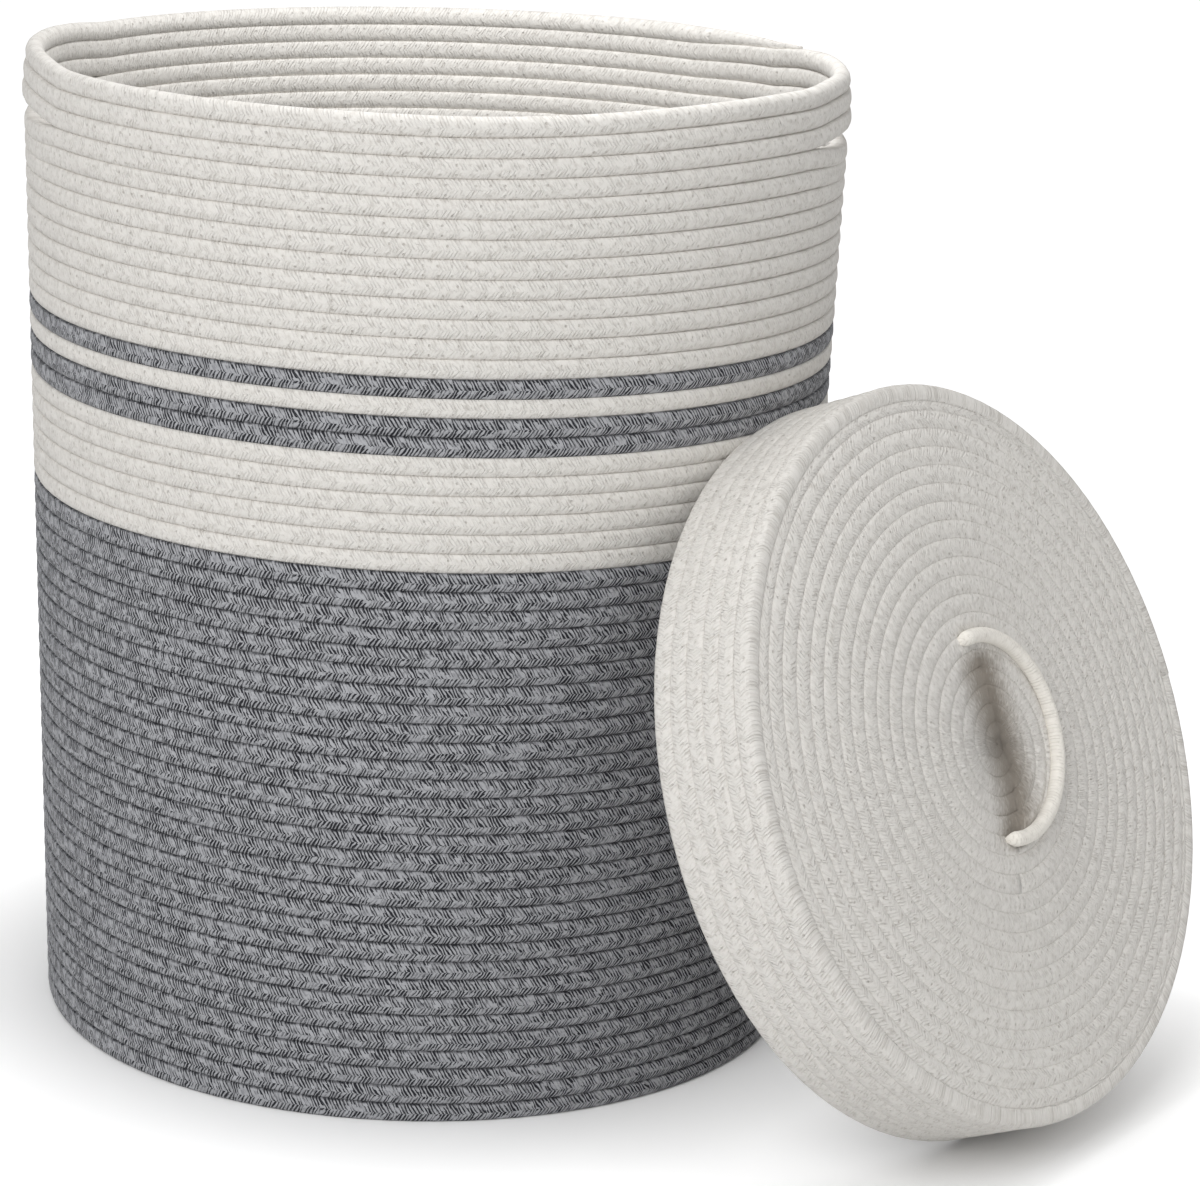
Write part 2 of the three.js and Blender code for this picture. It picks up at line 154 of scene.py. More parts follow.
class LidSizes(bpy.types.PropertyGroup):
    radius: FloatProperty(
        name="Lid radius", description="Outside of its edge row", default=185.2 * MM, unit="LENGTH"
    )
    flare: FloatProperty(
        name="Skirt flare", description="How much the open edge is wider", default=1 * MM, unit="LENGTH"
    )
    start_azimuth: FloatProperty(
        name="Start", description="Where its spiral starts, in degrees", default=-100.0
    )
    skirt_rows: IntProperty(name="Skirt rows", description="Rows under the edge row", default=5)
    centre: FloatProperty(
        name="Centre radius", description="Of the sunk centre", default=61.1 * MM, unit="LENGTH"
    )
    roundness: FloatProperty(name="Roundness", description="Of its rows: 1 is round and 0 flat", default=0.27)
    pressed: FloatProperty(
        name="Pressed", description="Each of its rows into the next", default=0.8 * MM, unit="LENGTH"
    )
    dome: FloatProperty(name="Dome", description="How far the face bulges", default=7 * MM, unit="LENGTH")
    hollow: FloatProperty(name="Hollow", description="Depth of the crease", default=12 * MM, unit="LENGTH")
    hollow_left: FloatProperty(
        name="Slope", description="Width of the slope before it", default=40 * MM, unit="LENGTH"
    )
    hollow_right: FloatProperty(
        name="Rise", description="Width of the rise to the lip", default=47 * MM, unit="LENGTH"
    )
    crease_x: FloatProperty(
        name="Crease", description="Its distance from the middle", default=3.8 * MM, unit="LENGTH"
    )
    crease_bend: FloatProperty(
        name="Crease bend", description="Of its lower part, per metre", default=9.0
    )
    crease_straight: FloatProperty(
        name="Crease straight",
        description="How far below the middle it stays straight",
        default=14 * MM,
        unit="LENGTH",
    )
    crease_sharpness: FloatProperty(name="Crease sharpness", description="1 is an even slope", default=2.2)
    # Painted shade along the crease reaches over this share of each slope's width
    painted_shade_width: FloatProperty(name="Painted shade", description="Share of the slope that is darkened", default=0.55)
    crease_length: FloatProperty(
        name="Crease length", description="Half of it", default=51 * MM, unit="LENGTH"
    )
    crease_shift: FloatProperty(name="Crease shift", description="Drift per depth, sideways", default=1.48)
    lip_radius: FloatProperty(
        name="Lip radius", description="Radius of the grip's arc", default=52.3 * MM, unit="LENGTH"
    )
    lip_thickness: FloatProperty(
        name="Lip", description="Thickness of the grip's rope", default=7.6 * MM, unit="LENGTH"
    )
    lip_centre: FloatVectorProperty(
        name="Lip centre",
        description="On the face",
        default=(-2.2 * MM, 5 * MM),
        size=2,
        subtype="TRANSLATION",
    )
    lip_start: FloatProperty(
        name="Lip start", description="Where the grip's arc starts, in degrees", default=95.6
    )
    lip_end: FloatProperty(
        name="Lip end", description="Where the grip's arc ends, in degrees", default=-102.8
    )
    lip_tuck: FloatProperty(
        name="Lip tuck", description="Of its ends, inwards", default=2 * MM, unit="LENGTH"
    )
    lip_height: FloatProperty(
        name="Lip height", description="Of its middle over the face", default=2 * MM, unit="LENGTH"
    )
    place: FloatVectorProperty(
        name="Place",
        description="Middle of the lid's face",
        default=(0.27359, -0.17157, 0.19078),
        subtype="TRANSLATION",
    )
    bearing: FloatProperty(
        name="Bearing", description="The way that the face looks, in degrees", default=-39.6
    )
    tilt: FloatProperty(name="Tilt", description="How far the face looks up, in degrees", default=22.8)


class Finishes(bpy.types.PropertyGroup):
    cream: FloatVectorProperty(
        name="Cream", description="Off-white cotton", default=linear("#E4E1DC"), subtype="COLOR"
    )
    # Lighter than the cream of the same cotton: painted highlight on the raised grip
    lip: FloatVectorProperty(
        name="Lip",
        description="Cotton of the grip, which no seam shades",
        default=linear("#F0ECE4"),
        subtype="COLOR",
    )
    cream_shade: FloatVectorProperty(
        name="Cream shade", description="Between cream yarns", default=linear("#A29A90"), subtype="COLOR"
    )
    grey: FloatVectorProperty(
        name="Grey", description="Light grey yarn", default=linear("#AEAFB3"), subtype="COLOR"
    )
    charcoal: FloatVectorProperty(
        name="Charcoal", description="Dark yarn of the flecks", default=linear("#2A2B30"), subtype="COLOR"
    )


def settings(group):
    """The sizes or colours of one group, as the scene holds them."""
    return getattr(bpy.context.scene, "basket_" + group)


# Rope

ROUND = 0.93  # the roundness of rope that no row presses on
CORNER = 0.65  # the same, where rows turn from a flat spiral into a wall
UNCOVERED = 0.05  # the part of a turn over which the row above comes to cover the next one
JOINT = 0.3 * MM  # the gap between two lengths of rope
SPIRAL_EYE = 0.2 * MM  # the radius at which a spiral's rope ends
MERGE = 0.01 * MM  # points of a mesh that are closer than this become one
FREE_END = 0.2  # the thickness of the wall rope's free end, as a share of the rope's
LIP_END = 0.15  # the section of the grip's ends, as a share of its middle's
LIP_STEPS = 96  # rings of the grip's mesh
FLARE_START = 1.5  # rows down from the lid's face at which its skirt starts to flare


def section(angle, half_thick, half_high, roundness):
    """A point of the rope's section: sewing flattens its two outsides and leaves a soft dip at each seam."""
    c, s = math.cos(angle), math.sin(angle)
    return half_thick * math.copysign(abs(c) ** roundness, c), half_high * s


def rope_sleeve(name, length, steps, sides, point, material):
    """A length of rope: a sheet 1 by 1 is rolled round the path that point(share, angle) gives.

    The sheet's UV map runs along the rope in metres and across a row from -1 to 1.
    """
    bm = bmesh.new()
    uv = bm.loops.layers.uv.new("rope")
    bmesh.ops.create_grid(bm, x_segments=steps, y_segments=sides, size=0.5)
    for face in bm.faces:
        for loop in face.loops:
            loop[uv].uv = ((loop.vert.co.x + 0.5) * length, math.sin(loop.vert.co.y * TURN))
    for vert in bm.verts:
        vert.co = point(vert.co.x + 0.5, vert.co.y * TURN)
    bmesh.ops.remove_doubles(bm, verts=bm.verts, dist=MERGE)
    bmesh.ops.holes_fill(bm, edges=[e for e in bm.edges if e.is_boundary], sides=0)
    bmesh.ops.recalc_face_normals(bm, faces=bm.faces)
    for face in bm.faces:
        face.smooth = len(face.verts) == 4  # all but the two ends
    mesh = bpy.data.meshes.new(name)
    bm.to_mesh(mesh)
    bm.free()
    piece = bpy.data.objects.new(name, mesh)
    bpy.context.scene.collection.objects.link(piece)
    mesh.materials.append(material)
    return piece


def dress(piece, node, body):
    """Says what a piece rides on and hides the node that it stands for."""
    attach(piece, body)
    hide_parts(node)


# Materials

# Along and across a row, places and sizes are shares of a row's half height unless a unit is given.
CROWDING = 170.0  # per metre: hand tension crowds and spreads the yarns every 6 mm or so
TUFTS = 330.0  # per metre: tufts of lint 3 mm wide
STRANDS = 1250.0  # per metre: strands 0.8 mm wide, coarser than real fibres, which are too fine to show
LYING = 0.3  # the width of a strand as a share of its length
HALF_SHIFT = 0.2  # of a yarn: one half of an arrowhead is this far ahead, and the other behind
DASHES = 1.7  # how often a yarn dives between a row's middle and its edge
STAGGER = 0.37  # of a dash: by how much it is ahead of the dash on the next yarn
THICK_AND_THIN = 0.16  # of a yarn: how much wider half of one dash may be than of another
DARKEST = 0.75  # past this part of the dashes, from the faintest up, the gaps are full dark
PALE = 0.4  # the part of the dashes that no shade of their own darkens
SEAM_FROM, SEAM_TO = 0.72, 0.92  # where the shade of the seam starts and where it is full
SEAM_LEAST = 0.3  # the share of its shade in the lightest places, which is 1 more in the darkest
PITS_ABOVE, PITS_BELOW = 0.42, -0.5  # the two lines of needle holes
PIT_LONG, PIT_HIGH = 0.1, 0.14  # half a hole: of the holes' spacing, and of half a row
STITCHES = -0.84  # the line of stitches at the lower seam
STITCH_LONG, STITCH_HIGH = 0.25, 0.1  # half a stitch: of the stitches' spacing, and of half a row
MARK_CORE = 0.2  # the part of a mark's area that is full dark
PIT_DEPTH = 1.5  # how much deeper a needle hole is than the gap between two yarns
PAINTED_SHADE_DARKNESS = 1.25  # how dark the painted shade in the lid's crease makes the cotton
RELIEF = 0.5 * MM  # the height of the pattern's bumps


def add(tree, kind, *inputs, named=None, **options):
    """Adds one shader node with its options.

    Its inputs, by number and in named, take numbers, colours, sockets or whole nodes to link from.
    """
    node = tree.nodes.new("ShaderNode" + kind)
    for name, value in options.items():
        setattr(node, name, value)
    for key, value in [*enumerate(inputs), *(named or {}).items()]:
        if isinstance(value, bpy.types.Node):
            value = value.outputs[0]
        if isinstance(value, bpy.types.NodeSocket):
            tree.links.new(value, node.inputs[key])
        else:
            node.inputs[key].default_value = value
    return node


def marks(tree, along, across, spacing, place, long, high):
    """A line of small marks along the rope, each of its own strength.

    Half of one is long by high, in shares of the spacing and of half a row. Their line is at place.
    """
    count = add(tree, "Math", along, spacing, operation="DIVIDE")
    phase = add(tree, "Math", add(tree, "Math", count, operation="FRACT"), 0.5, operation="SUBTRACT")
    x = add(tree, "Math", phase, long, operation="DIVIDE")
    y = add(tree, "Math", add(tree, "Math", across, place, operation="SUBTRACT"), high, operation="DIVIDE")
    y_square = add(tree, "Math", y, y, operation="MULTIPLY")
    squares = add(tree, "Math", x, x, y_square, operation="MULTIPLY_ADD")
    mark = add(tree, "MapRange", squares, MARK_CORE, 1.0, 1.0, 0.0, interpolation_type="SMOOTHSTEP")
    cell = add(tree, "CombineXYZ", add(tree, "Math", count, operation="FLOOR"), place)
    own = add(tree, "TexWhiteNoise", cell, noise_dimensions="3D")
    return add(tree, "Math", mark, own, operation="MULTIPLY")


def rope_material(name, light, dark, braid):
    """Braided cotton rope, sewn in rows.

    Cotton is matt and a little hairy. The braid shows as arrowheads of short slanted yarns with
    shade between them, and the sewing as pits and short stitches beside each seam.

    In braid, slant is how far a yarn runs along the row, and wander and shake are how far slow and
    quick changes shift it. Half a yarn is thin wide at the least, and its edge is soft wide, both in
    shares of the yarns' spacing. Gaps between yarns are depth dark, but for the sparse part of them,
    which are faint of that. The yarns' own shades, the seam, the holes and stitches, the grain and
    the relief are as strong as tints, seam, sewing, fibres and bump say.
    """
    if name in bpy.data.materials:
        return bpy.data.materials[name]
    material = bpy.data.materials.new(name)
    material.use_nodes = True
    tree = material.node_tree
    tree.nodes.clear()
    rope = settings("rope")
    where = add(tree, "SeparateXYZ", add(tree, "UVMap", uv_map="rope"))
    along, across = where.outputs[0], where.outputs[1]
    middle = add(tree, "Math", across, operation="ABSOLUTE")
    side = add(tree, "Math", across, operation="SIGN")
    up = add(tree, "Math", across, 0.5 * rope.diameter, operation="MULTIPLY")
    flat = add(tree, "CombineXYZ", along, up)

    # Hand tension shifts the yarns along the row, and the halves of an arrowhead don't meet.
    crowding = {"W": along, "Scale": CROWDING, "Detail": 1.0}
    wander = add(tree, "TexNoise", named=crowding, noise_dimensions="1D")
    drifted = add(tree, "Math", wander, braid["wander"], along, operation="MULTIPLY_ADD")
    parted = add(tree, "Math", side, HALF_SHIFT * rope.yarn, drifted, operation="MULTIPLY_ADD")
    tufts = add(tree, "TexNoise", named={"Vector": flat, "Scale": TUFTS, "Detail": 2.0})
    shaken = add(tree, "Math", tufts, braid["shake"], parted, operation="MULTIPLY_ADD")
    slanted = add(tree, "Math", middle, braid["slant"], shaken, operation="MULTIPLY_ADD")
    yarns = add(tree, "Math", slanted, rope.yarn, operation="DIVIDE")
    number = add(tree, "Math", yarns, operation="FLOOR")
    phase = add(tree, "Math", add(tree, "Math", yarns, operation="FRACT"), 0.5, operation="SUBTRACT")
    off_yarn = add(tree, "Math", phase, operation="ABSOLUTE")

    # Each yarn dives under its neighbours, so it shows as short dashes, each with its own shade.
    ahead = add(tree, "Math", number, STAGGER, operation="MULTIPLY")
    stagger = add(tree, "Math", ahead, operation="FRACT")
    dashes = add(tree, "Math", middle, DASHES, stagger, operation="MULTIPLY_ADD")
    dash = add(tree, "Math", dashes, operation="FLOOR")
    cell = add(tree, "CombineXYZ", number, dash, side)
    chance = add(tree, "TexWhiteNoise", cell, noise_dimensions="3D")
    own = add(tree, "SeparateColor", chance.outputs[1])
    edge = add(tree, "Math", own.outputs[1], THICK_AND_THIN, braid["thin"], operation="MULTIPLY_ADD")
    inside = add(tree, "Math", off_yarn, edge, operation="SUBTRACT")
    line = add(tree, "MapRange", inside, 0.0, braid["soft"], interpolation_type="SMOOTHSTEP")
    strength = add(tree, "MapRange", own.outputs[0], braid["sparse"], DARKEST, braid["faint"], 1.0)
    gaps = add(tree, "Math", line, strength, operation="MULTIPLY")
    deep = add(tree, "Math", gaps, braid["depth"], operation="MULTIPLY")
    tint = add(tree, "Math", own.outputs[2], PALE, operation="SUBTRACT")
    woven = add(tree, "Math", tint, braid["tints"], deep, operation="MULTIPLY_ADD")

    # The seam lies in shade, with needle holes in two lines and short stitches across it.
    ramp = middle, SEAM_FROM, SEAM_TO, 0.0, braid["seam"]
    even = add(tree, "MapRange", *ramp, interpolation_type="SMOOTHSTEP")
    uneven = add(tree, "Math", own.outputs[1], SEAM_LEAST, operation="ADD")
    seam = add(tree, "Math", even, uneven, operation="MULTIPLY")
    upper = marks(tree, drifted, across, rope.stitch, PITS_ABOVE, PIT_LONG, PIT_HIGH)
    lower = marks(tree, drifted, across, rope.stitch, PITS_BELOW, PIT_LONG, PIT_HIGH)
    pits = add(tree, "Math", upper, lower, operation="MAXIMUM")
    stitches = marks(tree, slanted, across, rope.stitch / 2, STITCHES, STITCH_LONG, STITCH_HIGH)
    sewn = add(tree, "Math", pits, stitches, operation="MAXIMUM")
    sewing = add(tree, "Math", sewn, braid["sewing"], operation="MULTIPLY")
    joined = add(tree, "Math", woven, seam, operation="MAXIMUM")
    shade = add(tree, "Math", joined, sewing, operation="MAXIMUM")

    # Strands lie along the yarns, under tufts of lint.
    lying = add(tree, "CombineXYZ", slanted, add(tree, "Math", up, LYING, operation="MULTIPLY"))
    fibres = add(tree, "TexNoise", named={"Vector": lying, "Scale": STRANDS, "Detail": 2.0})
    fuzz = add(tree, "Math", fibres, tufts, operation="ADD")
    grain = add(tree, "Math", fuzz, 1.0, operation="SUBTRACT")
    fuzzy = add(tree, "Math", grain, braid["fibres"], shade, operation="MULTIPLY_ADD")

    # Painted shade darkens the cotton along the lid's crease, where the point attribute holds it.
    painted_shade = add(tree, "Attribute", attribute_name="painted_shade")
    with_painted_shade = add(tree, "Math", painted_shade.outputs["Fac"], PAINTED_SHADE_DARKNESS, fuzzy, operation="MULTIPLY_ADD")
    colours = {6: (*light, 1), 7: (*dark, 1)}  # the numbers of a Mix node's two colour inputs
    tone = add(tree, "Mix", with_painted_shade, named=colours, data_type="RGBA")

    # The yarns are round, and lower where they dive and at the needle holes.
    deeper = add(tree, "Math", pits, PIT_DEPTH, operation="MULTIPLY")
    sunk = add(tree, "Math", gaps, deeper, operation="ADD")
    height = add(tree, "Math", fuzz, sunk, operation="SUBTRACT")
    bump = add(tree, "Bump", named={"Height": height, "Strength": braid["bump"], "Distance": RELIEF})
    shader = add(
        tree,
        "BsdfPrincipled",
        named={
            "Base Color": tone.outputs[2],
            "Normal": bump,
            "Roughness": 0.92,
            "Specular IOR Level": 0.2,
            "Sheen Weight": 0.08,
            "Sheen Roughness": 0.5,
        },
    )
    add(tree, "OutputMaterial", shader)
    return material


def cream_rope():
    """Bleached cotton: yarns, stitches and needle holes are all much the same pale tone."""
    finish, rope = settings("finish"), settings("rope")
    braid = dict(slant=rope.slant, wander=2 * MM, shake=1 * MM, thin=0.16, soft=0.2, sparse=0.3, faint=0.0)
    braid.update(depth=0.18, tints=0.14, seam=0.06, sewing=0.5, fibres=0.95, bump=0.75)
    return rope_material("cotton_rope_bleached_braided_and_sewn", finish.cream, finish.cream_shade, braid)


def grey_rope():
    """Marled cotton: light grey yarns twisted with charcoal ones, which show as dark flecks."""
    finish, rope = settings("finish"), settings("rope")
    braid = dict(slant=rope.slant, wander=2 * MM, shake=1 * MM, thin=0.1, soft=0.1, sparse=0.1, faint=0.1)
    braid.update(depth=1.4, tints=0.3, seam=0.7, sewing=0.4, fibres=1.0, bump=0.7)
    return rope_material("cotton_rope_grey_marl_braided_and_sewn", finish.grey, finish.charcoal, braid)


def plain_rope():
    """The same bleached cotton where no seam crosses it, yarns running nearly straight round it, in a lighter
    colour that is a painted highlight.
    """
    finish = settings("finish")
    braid = dict(slant=0.6 * MM, wander=1 * MM, shake=0.0, thin=0.2, soft=0.2, sparse=0.2, faint=0.1)
    braid.update(depth=0.25, tints=0.1, seam=0.0, sewing=0.0, fibres=0.5, bump=0.5)
    return rope_material("cotton_rope_bleached_braided_with_painted_highlight", finish.lip, finish.cream_shade, braid)


# The wall

FRONT = 270  # the azimuth of the front, in degrees
SLOT_AZIMUTHS = (180, 360)  # of the middle of the left and right hand slot, in degrees
# The nodes that each length of the wall stands for, its rows and its slot, from the rim down
WALL_LENGTHS = (
    (("wall_cream_rim", "wall_cream_upper"), 13, "cream_rope"),
    (("wall_grey_single_row",), 1, "grey_rope"),
    (("wall_cream_single_row",), 1, "cream_rope"),
    (("wall_grey_double_row",), 2, "grey_rope"),
    (("wall_cream_band",), 6, "cream_rope"),
    (("wall_grey_lower",), 29, "grey_rope"),
)


def wall_height():
    """From the floor to the rim at the front, where nothing lifts it."""
    return settings("wall").rows * settings("rope").diameter


def turns_to(azimuth):
    """The turns from where row counting starts to an azimuth in degrees."""
    return (azimuth - settings("wall").start_azimuth) / 360


def rim_rise(turns):
    """How far the rows are lifted, under the rope's free end and where the soft rim waves upwards."""
    wall = settings("wall")
    past_end = turns - turns_to(wall.end_azimuth)
    rows_down = round(past_end)
    spread = max(0.0, 1 - ((past_end - rows_down) * 360 / wall.end_reach) ** 2)
    end = wall.end_rise * spread * min(1.0, max(0.0, 1 - (rows_down - 1) / wall.end_rows))
    past_wave = turns - turns_to(wall.wave_azimuth)
    off_wave = min(1.0, abs(past_wave - round(past_wave)) * 360 / wall.wave_reach)
    return end + wall.wave * (1 + math.cos(math.pi * off_wave)) / 2 * max(0.0, 1 - turns / wall.wave_rows)


def slot_shift(turns, azimuth):
    """How far outwards and up a hand slot moves the rows, which part above and below its middle."""
    wall = settings("wall")
    centre = wall.slot_rows + turns_to(azimuth)
    apart = turns - centre - round(turns - centre)
    opening = max(0.0, 1 - abs(apart * 360 / wall.slot_half_angle) ** 3)
    under = turns + 0.5 - (centre + apart)
    if under < 0:
        return opening * wall.slot_bulge * (turns + 0.5) / (centre + apart), opening * wall.slot_height / 2
    return 0.0, -opening * wall.slot_height / 2 * max(0.0, 1 - under / wall.rows_pressed)


def wall_centre(turns):
    """Radius, azimuth and height of the middle of the rope, counted in turns from the rim's start."""
    wall, rope = settings("wall"), settings("rope")
    z = wall_height() - rope.diameter * (turns + 0.5 - turns_to(FRONT))
    radius = wall.foot_radius + (wall.rim_radius - wall.foot_radius) * z / wall_height() - rope.diameter / 2
    radius -= wall.gather * max(0.0, 1 - (turns + 0.5) / wall.gather_rows) ** 2
    z += rim_rise(turns)
    for slot in SLOT_AZIMUTHS:
        out, up = slot_shift(turns, slot)
        radius += out
        z += up
    return radius, math.radians(wall.start_azimuth) + TURN * turns, z


def wall_rope(name, first, last, material, free_end=False):
    """One length of the wall's rope, from first to last in turns."""
    wall, rope = settings("wall"), settings("rope")
    span = last - first
    radius = (wall.rim_radius + wall.foot_radius) / 2
    length = span * TURN * radius
    half = rope.diameter / 2
    joint = JOINT / 2 / (TURN * radius)
    past_rim = turns_to(wall.end_azimuth)

    def point(share, angle):
        turns = first + joint + (span - 2 * joint) * share
        r, azimuth, z = wall_centre(turns)
        size = 1.0
        if free_end:
            size = min(1.0, FREE_END + (1 - FREE_END) * share * length / wall.end_taper)
        roundness = rope.droop
        if math.sin(angle) > 0:
            bare = min(1.0, max(0.0, (1 + past_rim - turns) / UNCOVERED))
            roundness = rope.roundness + (ROUND - rope.roundness) * bare
        out, up = section(angle, half * size, (half + rope.pressed) * size, roundness)
        z -= half * (1 - size)
        r += out
        return Vector((r * math.cos(azimuth), r * math.sin(azimuth), z + up))

    return rope_sleeve(name, length, round(span * rope.steps), rope.sides, point, material)


class MakeWall(bpy.types.Operator):
    """Sews the wall: one helix of rope in lengths of two colours, with the two hand slots"""

    bl_idname = "basket.make_wall"
    bl_label = "Wall"

    def execute(self, context):
        wall = settings("wall")
        change = turns_to(wall.change_azimuth)
        first = turns_to(wall.end_azimuth)
        rows = 0
        for nodes, count, slot in WALL_LENGTHS:
            rows += count
            material = cream_rope() if slot == "cream_rope" else grey_rope()
            piece = wall_rope("rope_" + nodes[-1], first, rows + change, material, free_end=rows == count)
            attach(piece, "basket")
            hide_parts(*nodes)
            first = rows + change
        return {"FINISHED"}


# Flat spirals


def spiral_rope(name, circles, turns_range, material, move, roundness, pressed):
    """A flat spiral of sewn rope between an outer and an inner circle, over a range of turns.

    It starts to grow from the outer circle at turn 0 and is a full row wide from turn 1, until it
    meets the inner circle, where it dies away in one more turn. Then move places each point.
    """
    rope = settings("rope")
    outer, inner = circles
    first, last = turns_range
    length = math.pi * (outer + inner) * (last - first)
    half = rope.diameter / 2

    def edge(turns):
        return max(inner, outer - rope.diameter * max(turns - 1, 0))

    def point(share, angle):
        turns = first + (last - first) * share
        far, near = edge(turns), edge(turns + 1)
        up, out = section(angle, half, (far - near) / 2 + pressed, roundness)
        radius = (far + near) / 2 + out
        azimuth = TURN * turns
        return move(Vector((radius * math.cos(azimuth), radius * math.sin(azimuth), up)))

    return rope_sleeve(name, length, round((last - first) * rope.steps), rope.sides, point, material)


def edge_row(name, radius, climb, middle, material, place):
    """The row round a flat spiral, whose height grows or shrinks by one row in its turn.

    It grows if climb is 1 and shrinks if it is -1, and middle tells where its middle lies from half
    its height. Its outside is flat where the next row covers it and rounded where it turns into the
    spiral, and its inside is flat against the spiral.
    """
    rope = settings("rope")
    half = rope.diameter / 2

    def point(share, angle):
        depth = rope.diameter * (1 + climb * (share - 0.5))
        outside = math.cos(angle) > 0
        covered = outside == (math.sin(angle) * climb < 0)
        if outside and covered:
            out, up = section(angle, half, depth / 2 + rope.pressed, rope.roundness)
        elif outside:
            out, up = section(angle, half, depth / 2 + rope.pressed, CORNER)
        else:
            up, out = section(TURN / 4 - angle, depth / 2 + rope.pressed, half, rope.roundness)
        azimuth = TURN * share
        r = radius - half + out
        return place @ Vector((r * math.cos(azimuth), r * math.sin(azimuth), middle(depth / 2) + up))

    return rope_sleeve(name, TURN * radius, rope.steps, rope.sides, point, material)


def join_pieces(pieces):
    """Makes one object of several, in the first one's mesh."""
    bm = bmesh.new()
    for piece in pieces:
        bm.from_mesh(piece.data)
    bm.to_mesh(pieces[0].data)
    bm.free()
    for piece in pieces[1:]:
        bpy.data.objects.remove(piece)
    return pieces[0]


class MakeBase(bpy.types.Operator):
    """Sews the base: a flat spiral of rope inside the foot row"""

    bl_idname = "basket.make_base"
    bl_label = "Base"

    def execute(self, context):
        wall, rope = settings("wall"), settings("rope")
        outer = wall.foot_radius - rope.diameter - JOINT
        rows = int(outer / rope.diameter)
        inner = outer - rows * rope.diameter
        start = Matrix.Rotation(math.radians(wall.change_azimuth), 4, "Z")
        raised = Matrix.Translation((0, 0, rope.diameter / 2)) @ start
        grey = grey_rope()
        plate = spiral_rope(
            "rope_base_coil",
            (outer, inner),
            (0, rows + 1),
            grey,
            lambda p: raised @ p,
            rope.roundness,
            rope.pressed,
        )
        foot = edge_row("rope_foot_row", wall.foot_radius, -1, lambda high: high, grey, start)
        dress(join_pieces([plate, foot]), "base_coil", "basket")
        return {"FINISHED"}


# The lid


def lid_matrix():
    """The lid's own axes: across and level, up its face, and straight out of its face."""
    lid = settings("lid")
    bearing, tilt = math.radians(lid.bearing), math.radians(lid.tilt)
    out = Vector((math.cos(bearing) * math.cos(tilt), math.sin(bearing) * math.cos(tilt), math.sin(tilt)))
    across = Vector((-math.sin(bearing), math.cos(bearing), 0))
    up = out.cross(across)
    turned = Matrix((across, up, out)).transposed().to_4x4()
    return Matrix.Translation(Vector(lid.place)) @ turned


def lid_start():
    """The turn that brings the lid's spiral to where its rope starts."""
    return Matrix.Rotation(math.radians(settings("lid").start_azimuth), 4, "Z")


def lid_spiral():
    """Where the lid's spiral starts, how many of its rows belong to the face, and where its centre starts."""
    lid, rope = settings("lid"), settings("rope")
    outer = lid.radius - rope.diameter + rope.pressed
    rows = round((outer - lid.centre) / rope.diameter)
    return outer, rows, outer - rows * rope.diameter


def off_crease(x, y):
    """How far sideways a point of the lid lies from the crease, whose lower part bends."""
    lid = settings("lid")
    return x - lid.crease_x + lid.crease_bend * max(0.0, -lid.crease_straight - y) ** 2


def crease_depth(x, y):
    """How deep the lid's middle is pushed in, from 0 to 1: steepest at the crease, and none at the lip."""
    lid = settings("lid")
    bow = math.sqrt(max(0.0, 1 - (y / lid.crease_length) ** 2))
    off = off_crease(x, y)
    width = (lid.hollow_left if off < 0 else lid.hollow_right) * bow
    return bow * (1 - abs(off) / width) ** lid.crease_sharpness if abs(off) < width else 0.0


def crease_painted_shade(x, y):
    """How much painted shade darkens the cotton along the crease, from 0 to 1."""
    lid, rope = settings("lid"), settings("rope")
    along = min(1.0, max(0.0, (lid.crease_length - abs(y)) / rope.diameter))
    off = off_crease(x, y)
    width = lid.painted_shade_width * (lid.hollow_left if off < 0 else lid.hollow_right)
    return along * max(0.0, 1 - abs(off) / width)


def bulge(x, y):
    """How far the soft face stands out of its edge row's plane."""
    lid, rope = settings("lid"), settings("rope")
    return lid.dome * max(0.0, 1 - (x * x + y * y) / (lid.radius - rope.diameter) ** 2)


def on_face(point):
    """Where a point of the flat lid lies once its face is domed, and pushed in and sideways at the crease."""
    lid = settings("lid")
    depth = lid.hollow * crease_depth(point.x, point.y)
    drift = Vector((lid.crease_shift * depth, 0, bulge(point.x, point.y) - depth))
    return lid_matrix() @ (point + drift)


class MakeLidSkirt(bpy.types.Operator):
    """Sews the rows of the lid's skirt"""

    bl_idname = "basket.make_lid_skirt"
    bl_label = "Lid skirt"

    def execute(self, context):
        lid, rope = settings("lid"), settings("rope")
        half = rope.diameter / 2
        move = lid_matrix()
        length = lid.skirt_rows * TURN * lid.radius

        def point(share, angle):
            turns = lid.skirt_rows * share
            depth = rope.diameter * (turns + 1)
            flared = max(0.0, depth - FLARE_START * rope.diameter) / (lid.skirt_rows * rope.diameter)
            out, up = section(angle, half, half + lid.pressed, lid.roundness)
            radius = lid.radius + lid.flare * flared - half + out
            azimuth = TURN * turns
            return move @ Vector((radius * math.cos(azimuth), radius * math.sin(azimuth), half - depth + up))

        count = lid.skirt_rows * rope.steps
        piece = rope_sleeve("rope_lid_skirt", length, count, rope.sides, point, cream_rope())
        dress(piece, "lid_skirt", "lid")
        return {"FINISHED"}


class MakeLidFace(bpy.types.Operator):
    """Sews the lid's edge row and the spiral of its face"""

    bl_idname = "basket.make_lid_face"
    bl_label = "Lid face"

    def execute(self, context):
        lid, rope = settings("lid"), settings("rope")
        half = rope.diameter / 2
        outer, rows, inner = lid_spiral()
        start, cream = lid_start(), cream_rope()
        plate = spiral_rope(
            "rope_lid_face",
            (outer, inner),
            (0, rows),
            cream,
            lambda p: on_face(start @ p),
            lid.roundness,
            lid.pressed,
        )
        edge = edge_row("rope_lid_edge", lid.radius, 1, lambda high: half - high, cream, lid_matrix())
        dress(join_pieces([plate, edge]), "lid_face", "lid")
        return {"FINISHED"}


